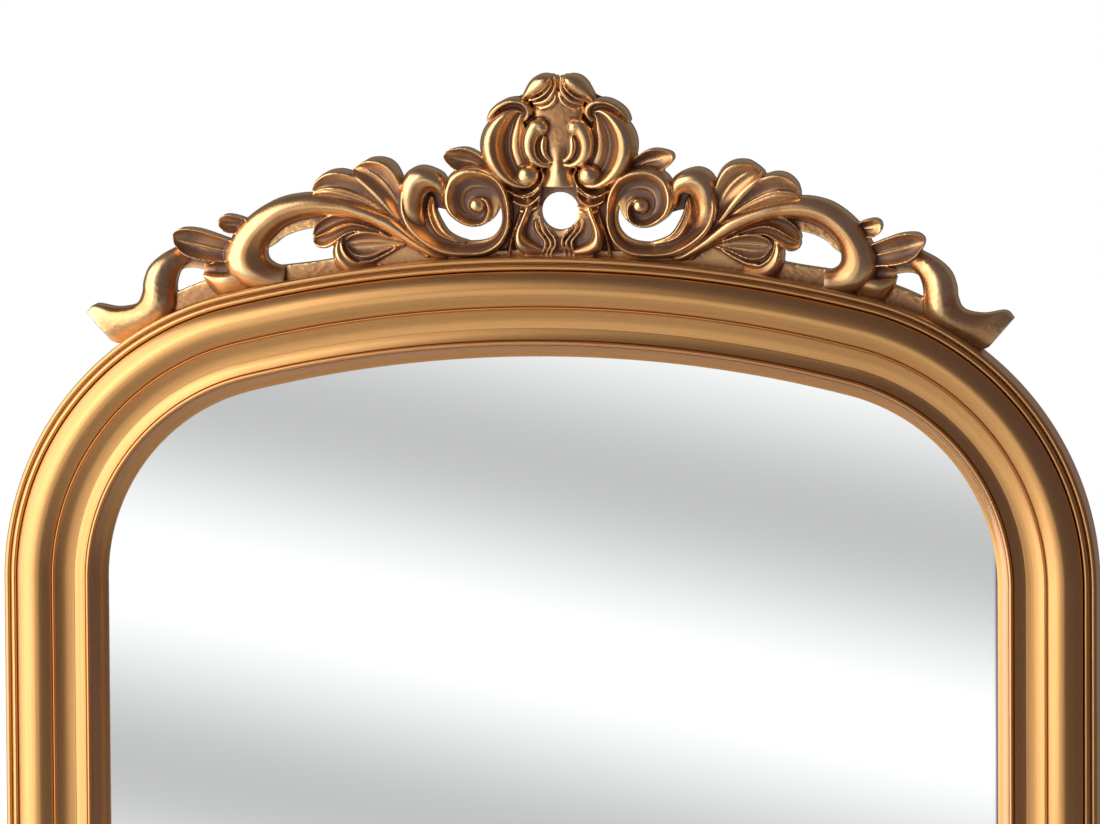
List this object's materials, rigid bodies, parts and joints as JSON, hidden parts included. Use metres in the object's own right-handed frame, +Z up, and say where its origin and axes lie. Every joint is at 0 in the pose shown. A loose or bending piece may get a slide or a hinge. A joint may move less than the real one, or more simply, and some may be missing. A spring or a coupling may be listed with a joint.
{
  "type": "wall mirror",
  "caption": "Gilded wall mirror with an arched moulded frame and a pierced crest of scrolls and acanthus leaves.",
  "frame": {"origin": "on the wall plane, in the middle of the flat back of the head rail, 24 mm below the frame's apex", "axes": "+Z up the wall, +Y into the wall, so that the front looks along -Y, and +X to the right seen from the front"},
  "size_m": [0.76, 0.0388, 1.0145],
  "materials": {
    "antique_gold": "satin gold leaf finish over composition, with brown glaze in the hollows",
    "silvered_glass": "clear silvered glass",
    "fibreboard": "raw matt fibreboard",
    "zinc_steel": "bright zinc plate"
  },
  "bodies": {
    "root": {"frame": "antique_gold", "crest": "antique_gold", "mirror_glass": "silvered_glass", "backing_board": "fibreboard", "hanger_plate_left": "zinc_steel", "hanger_plate_right": "zinc_steel", "hanger_screw_1": "zinc_steel", "hanger_screw_2": "zinc_steel", "hanger_screw_3": "zinc_steel", "hanger_screw_4": "zinc_steel", "backing_screw_1": "zinc_steel", "backing_screw_2": "zinc_steel", "backing_screw_3": "zinc_steel", "backing_screw_4": "zinc_steel", "backing_screw_5": "zinc_steel", "backing_screw_6": "zinc_steel", "backing_screw_7": "zinc_steel", "backing_screw_8": "zinc_steel"}
  },
  "joints": []
}
